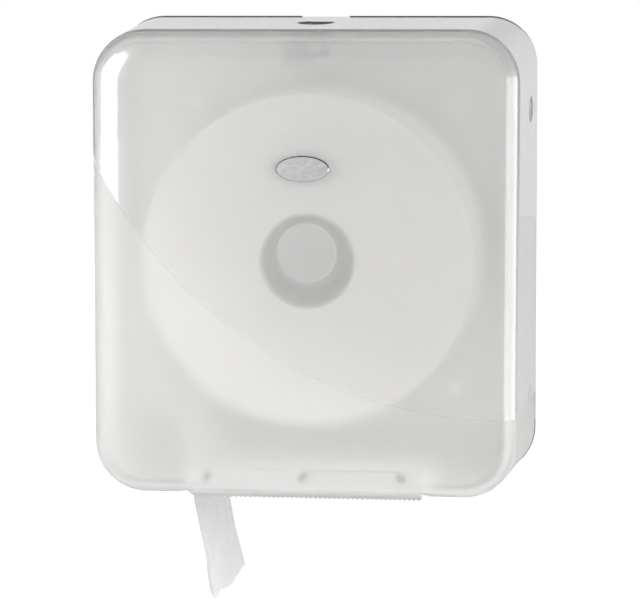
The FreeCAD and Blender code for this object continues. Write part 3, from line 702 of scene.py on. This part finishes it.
# %% Tissue
tissue_tree, tissue_in, tissue_out = new_group(
    "tissue",
    [("Tone", "colour", (0.9, 0.9, 0.89, 1)), ("Crepe", "value", 900.0)],
    [("Color", "colour"), ("Height", "value")],
)
crepe_stretch = (1.0, 0.25, 1.0)
fibre_cloud_scale = 90.0
darkest = 0.965
brightest = 1.02
place = object_place(tissue_tree)
crepe = add(tissue_tree, "ShaderNodeMapping", {"Vector": place, "Scale": crepe_stretch}).outputs[0]
crepe = noise_at(tissue_tree, crepe, tissue_in.outputs["Crepe"], 3.0)
clouds = noise_at(tissue_tree, place, fibre_cloud_scale, 4.0)
shade = remap(tissue_tree, clouds, noise_low, noise_high, darkest, brightest)
paper = scaled(tissue_tree, tissue_in.outputs["Tone"], shade)
tissue_tree.links.new(paper, tissue_out.inputs["Color"])
tissue_tree.links.new(crepe, tissue_out.inputs["Height"])


def tissue(name, tone, depth):
    """Soft paper of a tone, with a crepe of a depth."""
    material, tree, shader = new_material(name)
    fibres = group_node(tree, tissue_tree, Tone=tone)
    tree.links.new(fibres.outputs["Color"], shader.inputs["Base Color"])
    shader.inputs["Roughness"].default_value = 0.9
    shader.inputs["Sheen Weight"].default_value = 0.1
    bump(tree, shader, fibres.outputs["Height"], depth)
    return material


roll_paper = tissue("roll_paper", grey(0.86, 0.004), 0.05 * mm)
sheet_paper = tissue("sheet_paper", grey(0.9, 0.0), 0.08 * mm)
print("group", tissue_tree.name)

# %% [markdown]
# The lower front corner of the sheet is folded back on itself. Two layers let less light through
# than one, so the corner looks greyer. It could be a second sheet, but the fold lies flat, so that
# shade is painted: the corner gets a greyer tone.

# %% Folded corner
fold_top = -0.228
fold_fade = 6 * mm
fold_edge = -0.099
fold_edge_end = -0.096
tree = sheet_paper.node_tree
beside_fold = remap(tree, along_axis(tree, object_place(tree), "Y"), fold_edge, fold_edge_end, 0.0, 1.0)
single = math_node(tree, "MAXIMUM", above(tree, fold_top, fold_fade), beside_fold)
# Painted shade: a greyer tone on the folded corner.
second_look(sheet_paper, single, grey(0.8))
print("folded below", fold_top, "m and in front of", fold_edge, "m")

# %% [markdown]
# ### Dressing the CAD nodes
#
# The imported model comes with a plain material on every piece. It could be edited in place, but
# putting the finishes above into its slots leaves the pieces and their names as they are.

# %% Put the finishes on the CAD nodes
for name, material in finishes.items():
    slots = nodes[name].material_slots
    for slot in slots:
        slot.material = material
    print(name, "has", material.name, "in", len(slots), "slot(s)")

# %% [markdown]
# ## Soft pieces
#
# The roll and the sheet are grids of points, closed to a ring or left open. Curves and modifiers
# could make them too, but placing the points keeps every ring and fold where it is wanted. One
# helper fills a grid with faces, and another makes the object.

# %% Skins and pieces
def skin(shape, lines, closed):
    """Fills faces between neighbouring lines of points. Closed joins the last to the first both ways."""
    left_open = 0 if closed else 1
    count = len(lines[0])
    for i in range(len(lines) - left_open):
        ahead = lines[(i + 1) % len(lines)]
        for k in range(count - left_open):
            n = (k + 1) % count
            shape.faces.new((lines[i][k], lines[i][n], ahead[n], ahead[k]))
    bmesh.ops.recalc_face_normals(shape, faces=shape.faces)


def smooth_piece(shape, name, material):
    """Makes a smooth object with one material from the faces, and clears them from memory."""
    mesh = bpy.data.meshes.new(name)
    shape.to_mesh(mesh)
    shape.free()
    for polygon in mesh.polygons:
        polygon.use_smooth = True
    mesh.materials.append(material)
    piece = bpy.data.objects.new(name, mesh)
    bpy.context.collection.objects.link(piece)
    return piece


# %% [markdown]
# ## The wound roll
#
# A roll of tissue is hundreds of thin layers. Its flat ends aren't quite flat: groups of layers
# stand a little proud of others. A profile with small steps, turned round the axis of the core,
# gives these rings and keeps the mesh clean. The sizes come from the boxes of the CAD nodes.

# %% Sizes of the roll
core_gap = 0.05 * mm
roll_low, roll_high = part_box("paper_roll")
core_low, core_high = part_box("roll_core")
roll_radius = (roll_high.x - roll_low.x) / 2
roll_axis = Vector(((roll_low.x + roll_high.x) / 2, 0, (roll_low.z + roll_high.z) / 2))
inner_radius = (core_high.x - core_low.x) / 2 + core_gap
roll_front = roll_low.y
roll_back = roll_high.y
print("roll radius", round(roll_radius, 4), "m, width", round(roll_back - roll_front, 4), "m")

# %% [markdown]
# The profile runs from the core out over the front end, across the rim and back in over the rear
# end. Noise along it says how proud each ring stands. The edges are eased, as soft paper is.

# %% Profile of the roll
layer_rings = 46
ring_step = 0.35 * mm
ring_scale = 37.0
end_difference = 90.0
edge_ease = 0.8 * mm
rim_parts = 9
rim_step = 0.12 * mm
rim_scale = 1.7


def end_profile(level, inward):
    """Radius and depth of the rings on one end face, from the core to the rim."""
    points = []
    for i in range(layer_rings + 1):
        share = i / layer_rings
        radius = inner_radius + (roll_radius - edge_ease - inner_radius) * share
        proud = 0.5 + 0.5 * noise.noise(Vector((share * ring_scale, level * end_difference, 3.1)))
        points.append((radius, level + inward * ring_step * proud))
    return points


ease_start = edge_ease * 0.3
rim = [(roll_radius - ease_start, roll_front + ease_start), (roll_radius, roll_front + edge_ease)]
for i in range(1, rim_parts):
    depth = roll_front + (roll_back - roll_front) * i / rim_parts
    sunk = rim_step * (0.5 + 0.5 * noise.noise(Vector((i * rim_scale, 0, 0))))
    rim.append((roll_radius - sunk, depth))
rim += [(roll_radius, roll_back - edge_ease), (roll_radius - ease_start, roll_back - ease_start)]
profile = end_profile(roll_front, 1) + rim + end_profile(roll_back, -1)[::-1]
print("profile of", len(profile), "points")

# %% [markdown]
# The profile is turned once round the axis. A Screw modifier could do it, but a plain loop shows
# how a turned shape comes about.

# %% Wound roll
turns = 144
shape = bmesh.new()
rings = []
for radius, depth in profile:
    ring = []
    for k in range(turns):
        a = 2 * math.pi * k / turns
        x = roll_axis.x + radius * math.cos(a)
        z = roll_axis.z + radius * math.sin(a)
        ring.append(shape.verts.new((x, depth, z)))
    rings.append(ring)
skin(shape, rings, closed=True)
wound_roll = smooth_piece(shape, "wound_roll", roll_paper)
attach(wound_roll, "roll")
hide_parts("paper_roll")
print("wound roll", len(wound_roll.data.polygons), "faces")

# %% [markdown]
# ## The hanging sheet
#
# The sheet leaves the roll on its left side, runs straight down to the way out and hangs from
# there. A cloth simulation could drape it, but its folds would change with every setting, so its
# path is worked out: a tangent from the roll to the way out, then a hanging end that drifts.

# %% Path of the sheet
sheet_width = 84 * mm
sheet_back = 26 * mm
exit_x = -83 * mm
exit_z = -172 * mm
tail_length = 88.5 * mm
tail_drift = 16 * mm
wrap_angle = math.radians(16)
roll_gap = 0.8 * mm
sheet_reach = roll_radius + roll_gap
far = math.hypot(exit_x, exit_z - roll_axis.z)
touch = math.atan2(exit_z - roll_axis.z, exit_x) - math.acos(sheet_reach / far)


def sheet_place(run):
    """X and Z of the sheet: run is -1 on the roll, 0 where it leaves, 1 at the way out and 2 at its end."""
    if run < 0:
        a = touch + wrap_angle * run
        return sheet_reach * math.cos(a), roll_axis.z + sheet_reach * math.sin(a)
    if run < 1:
        start_x, start_z = sheet_reach * math.cos(touch), roll_axis.z + sheet_reach * math.sin(touch)
        return start_x + (exit_x - start_x) * run, start_z + (exit_z - start_z) * run
    return exit_x + tail_drift * (run - 1), exit_z - tail_length * (run - 1)


print("the sheet leaves the roll at", round(math.degrees(touch) % 360, 1), "degrees")

# %% [markdown]
# ### The torn end
#
# The lower end was torn against the teeth of the strip. It could be a jagged image, but real points
# give it a true outline. It is round at the front edge, then climbs in steps with small jags.

# %% Torn end
corner_round = 4.5 * mm
corner_share = 0.09
tear_steps = [(3.4 * mm, 0.08, 0.28), (-1.2 * mm, 0.28, 0.52), (9.4 * mm, 0.5, 1.08)]
jag_height = 0.9 * mm
jag_count = 24
jag_start = 0.13
jag_full = 0.2
tear_unevenness = 0.5 * mm


def smooth(low, high, value):
    """0 below low, 1 above high and a smooth rise between them."""
    t = min(max((value - low) / (high - low), 0), 1)
    return t * t * (3 - 2 * t)


def torn_end(s):
    """How far up the tear is at a share of the width, from the front edge."""
    rounding = corner_round * (1 - smooth(0.0, corner_share, s))
    steps = sum(rise * smooth(start, end, s) for rise, start, end in tear_steps)
    jag = jag_height * abs((s * jag_count) % 1 - 0.5) * 2 * smooth(jag_start, jag_full, s)
    return rounding + steps + jag + tear_unevenness * noise.noise(Vector((s * 9, 0, 7)))


print("the tear climbs", round((torn_end(1) - torn_end(jag_full)) / mm, 1), "mm to the rear edge")

# %% [markdown]
# ### Soft folds
#
# Gravity pulls the sheet straight, but it keeps soft folds and turns a little edge-on as it falls.
# Each fold is one term of a sum that moves the points sideways, so each can be judged on its own.

# %% Folds of the sheet
narrowing = 6 * mm
forward_drift = 2 * mm
twist_at_exit = 13.5 * mm
untwist = 1 * mm
belly = 1.5 * mm
ripple = 0.5 * mm
crumple_depth = 0.5 * mm
crumple_scale = 4
crease_share = 0.2
crease_start = 0.55
crease_end = 0.85
fold_out = 2.2 * mm
fold_over = 3 * mm
flare_out = 1.6 * mm
flare_in = 1.2 * mm
flare_start = 0.5


def sheet_point(s, run):
    """The point of the sheet at a share of the width from the front edge and at a run down the path."""
    x, z = sheet_place(run)
    down = max(run - 1, 0)
    bend = min(max(run, 0), 1)
    width = sheet_width - narrowing * down
    twist = twist_at_exit * bend ** 2 - untwist * down
    y = -sheet_back - sheet_width / 2 + forward_drift * down + width * (s - 0.5)
    ripples = ripple * math.sin(3 * math.pi * s + 1 + 2 * down)
    wave = bend ** 2 * (-belly * math.sin(math.pi * s) + ripples)
    crumple = crumple_depth * bend * noise.noise(Vector((s * crumple_scale, run * crumple_scale, 1.3)))
    turned = smooth(crease_start, crease_end, down) * max(1 - s / crease_share, 0)
    curl = flare_out * smooth(flare_start, crease_end, down) - flare_in * math.sin(math.pi * min(down, 1))
    shift = twist * (s - 0.5) + wave + s ** 3 * curl + crumple - fold_out * turned
    return x + shift, y + fold_over * turned, z


# %% [markdown]
# Past the way out, each column of points is shortened to end on the tear, so no face is cut. The
# solidify modifier then gives the thickness of two plies.

# %% Hanging sheet
columns = 96
rows = 90
shape = bmesh.new()
grid = []
for j in range(rows + 1):
    row = []
    run = -1 + 3 * j / rows
    for i in range(columns + 1):
        s = i / columns
        stop = 2 - torn_end(s) / tail_length
        here = 1 + (run - 1) * (stop - 1) if run > 1 else run
        row.append(shape.verts.new(sheet_point(s, here)))
    grid.append(row)
skin(shape, grid, closed=False)
flat_area = sum(face.calc_area() for face in shape.faces)
hanging_sheet = smooth_piece(shape, "hanging_sheet", sheet_paper)
plies = hanging_sheet.modifiers.new("plies", "SOLIDIFY")
plies.thickness = 0.3 * mm
plies.offset = 0.0
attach(hanging_sheet, "back")
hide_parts("paper_tail")

# %% [markdown]
# ## Floor, light and air
#
# Product pictures are lit by large soft lamps, which make long bright bands on rounded edges. The
# white background comes from the world and the floor as the camera sees them, not from more light.
# The Light Path node tells what a ray is for, so the floor can be white to the camera, plain to the
# light and grey in a mirror.

# %% Floor
def ray_kinds(tree):
    """The Light Path node, and 1 for the rays that look at a surface straight or through plastic."""
    path = add(tree, "ShaderNodeLightPath")
    seen = math_node(tree, "MAXIMUM", path.outputs["Is Camera Ray"], path.outputs["Is Transmission Ray"])
    return path, seen


floor_level = -0.6
floor_half = 6.0
floor_tone = (0.8, 0.8, 0.8, 1)
floor_white = 0.9
floor_in_gloss = 0.42
corners = [(-1, -1), (1, -1), (1, 1), (-1, 1)]
mesh = bpy.data.meshes.new("floor")
mesh.from_pydata([(x * floor_half, y * floor_half, floor_level) for x, y in corners], [], [(0, 1, 2, 3)])
floor = bpy.data.objects.new("floor", mesh)
bpy.context.collection.objects.link(floor)
floor_paint, tree, shader = new_material("floor_paint")
shader.inputs["Base Color"].default_value = floor_tone
shader.inputs["Roughness"].default_value = 0.9
shader.inputs["Emission Color"].default_value = (1, 1, 1, 1)
path, seen = ray_kinds(tree)
in_gloss = math_node(tree, "MULTIPLY", path.outputs["Is Glossy Ray"], floor_in_gloss)
white = math_node(tree, "MULTIPLY", seen, floor_white)
tree.links.new(math_node(tree, "MAXIMUM", in_gloss, white), shader.inputs["Emission Strength"])
mesh.materials.append(floor_paint)
print("floor at", floor_level, "m")

# %% [markdown]
# ### The air of the studio
#
# The world is what a ray meets when it misses everything. A room with walls could be built, but
# three tones by direction do its work: white for the camera, a soft even light for the object, and
# a darker room in mirrors. The mirrored room comes first. It has pale walls, a dim ceiling, a glow
# at the left of the camera and two dark flags behind the object.

# %% Mirrored room
wall = 0.78
ceiling = 0.15
ceiling_blend = 0.3
left_glow = 1.2
glow_edge = (-0.24, -0.08)
front_edge = (-0.9, -0.4)
flag_tone = 0.3
flag_side_edge = (0.2, 0.35)
flag_rear_edge = (0.1, 0.4)
world = bpy.data.worlds.new("studio_air")
bpy.context.scene.world = world
world.use_nodes = True
tree = world.node_tree
tree.nodes.clear()
way = add(tree, "ShaderNodeTexCoord").outputs["Generated"]
way = add(tree, "ShaderNodeSeparateXYZ", {0: way})
ceiling_start = remap(tree, way.outputs["Y"], -0.5, 0.5, -0.04, 0.14)
over = math_node(tree, "SUBTRACT", way.outputs["Z"], ceiling_start)
mirrored = remap(tree, over, 0.0, ceiling_blend, wall, ceiling)
glow = remap(tree, way.outputs["X"], *glow_edge, left_glow, 0.0)
ahead = remap(tree, way.outputs["Y"], *front_edge, 1.0, 0.0)
mirrored = math_node(tree, "ADD", mirrored, math_node(tree, "MULTIPLY", glow, ahead))
aside = remap(tree, math_node(tree, "ABSOLUTE", way.outputs["X"]), *flag_side_edge, 0.0, 1.0)
behind = remap(tree, way.outputs["Y"], *flag_rear_edge, 0.0, 1.0)
flags = math_node(tree, "MULTIPLY", aside, behind)
mirrored = mix_value(tree, flags, mirrored, flag_tone)
print("mirrored walls", wall, "and ceiling", ceiling)

# %% [markdown]
# The soft light is weaker from above, where the top lamp adds its own. The kind of ray then chooses
# among the three.

# %% World
around = 0.50
from_above = 0.6
path, seen = ray_kinds(tree)
diffuse = remap(tree, way.outputs["Z"], 0.1, 0.7, around, around * from_above)
level = math_node(tree, "MAXIMUM", seen, diffuse)
shiny = math_node(tree, "SUBTRACT", path.outputs["Is Glossy Ray"], seen, clamp=True)
level = mix_value(tree, shiny, level, mirrored)
air = add(tree, "ShaderNodeBackground", {"Color": (1, 1, 1, 1), "Strength": level})
add(tree, "ShaderNodeOutputWorld", {"Surface": air.outputs[0]})
print("air", around, "round the object")

# %% [markdown]
# ### Lamps and cards
#
# A studio lights a glossy piece in two ways: lamps give the light, and white cards are placed only
# where a highlight is wanted. One lamp could do both, but then a change to the highlight would
# change the shading too. So a lamp here doesn't show in reflections, and a card shows only there.

# %% Lamps
centre = Vector((0, -0.07, 0))


def softbox(name, place, size, radiance, card=False, aim=centre):
    """A rectangular lamp that faces its aim. A card shows only in reflections, as a white board does."""
    width, height = size
    lamp = bpy.data.lights.new(name, "AREA")
    lamp.shape = "RECTANGLE"
    lamp.size = width
    lamp.size_y = height
    lamp.energy = radiance * math.pi * width * height
    holder = bpy.data.objects.new(name, lamp)
    holder.location = place
    holder.rotation_mode = "QUATERNION"
    holder.rotation_quaternion = (Vector(aim) - Vector(place)).to_track_quat("-Z", "Y")
    holder.visible_diffuse = not card
    holder.visible_transmission = not card
    holder.visible_glossy = card
    holder.visible_camera = False
    bpy.context.collection.objects.link(holder)
    print(name, "radiance", radiance, "over", round(width * height, 2), "m2")


def around_object(degrees, away, height):
    """A place at an angle from straight in front, towards the right."""
    a = math.radians(degrees)
    return (away * math.sin(a), centre.y - away * math.cos(a), height)


softbox("left_lamp", around_object(-52, 0.9, 0.0), size=(0.5, 0.6), radiance=4.95)
softbox("right_lamp", around_object(58, 0.9, 0.0), size=(0.5, 0.6), radiance=4.5)
softbox("under_lamp", (0.1, -0.2, -0.5), size=(0.5, 0.3), radiance=0.7)
softbox("top_lamp", (0.0, 0.15, 1.4), size=(1.2, 0.8), radiance=1.3)

# %% [markdown]
# The left card makes the long bright band down the polished side. It faces straight back, beside
# the object. The right card stands low and far round, for the soft band on the right edge.

# %% Cards
left_aim = (-1.2, 0, -0.17)
right_aim = (0, -0.07, -0.35)
right_place = around_object(71, 1.4, -0.35)
softbox("left_card", (-1.2, -1.63, -0.17), size=(1.3, 1.66), radiance=6.8, card=True, aim=left_aim)
softbox("right_card", right_place, size=(2.56, 1.3), radiance=2.65, card=True, aim=right_aim)

# %% [markdown]
# ## Camera
#
# The picture was taken from a little to the right and a little above, from far away with a long
# lens. A shifted lens could frame it, but turning the camera to a point just under the middle of the
# case gives the same picture without one. Two angles and a distance say where the camera stands,
# and a third angle says how it is tilted.

# %% Place of the camera
turn = math.radians(7.675)
height = math.radians(6.57)
roll = math.radians(-0.263)
distance = 2349.4 * mm
back = Vector((math.sin(turn) * math.cos(height), -math.cos(turn) * math.cos(height), math.sin(height)))
right = Vector((math.cos(turn), math.sin(turn), 0))
up = back.cross(right)
camera_x = math.cos(roll) * right + math.sin(roll) * up
camera_y = -math.sin(roll) * right + math.cos(roll) * up
eye = centre + back * distance
print("camera at", [round(v, 3) for v in eye])

# %% [markdown]
# The point it looks at is measured in pixels of the picture, to the right of the middle of the case
# and below it. Its three axes then are the columns of the camera's matrix.

# %% Camera
picture_width = 640
focal_pixels = 3118.4
aim_right = 4.79
aim_down = 47.87
aim = centre + (camera_x * aim_right - camera_y * aim_down) * (distance / focal_pixels)
view_back = (eye - aim).normalized()
view_right = camera_x - view_back * camera_x.dot(view_back)
view_right.normalize()
view_up = view_back.cross(view_right)
lens = bpy.data.cameras.new("camera")
lens.sensor_width = 36.0
lens.lens = lens.sensor_width * focal_pixels / picture_width
camera = bpy.data.objects.new("camera", lens)
bpy.context.collection.objects.link(camera)
camera.matrix_world = Matrix((
    (view_right.x, view_up.x, view_back.x, eye.x),
    (view_right.y, view_up.y, view_back.y, eye.y),
    (view_right.z, view_up.z, view_back.z, eye.z),
    (0, 0, 0, 1),
))
bpy.context.scene.camera = camera
bpy.context.scene.view_settings.view_transform = "Standard"
print("lens", round(lens.lens, 1), "mm")
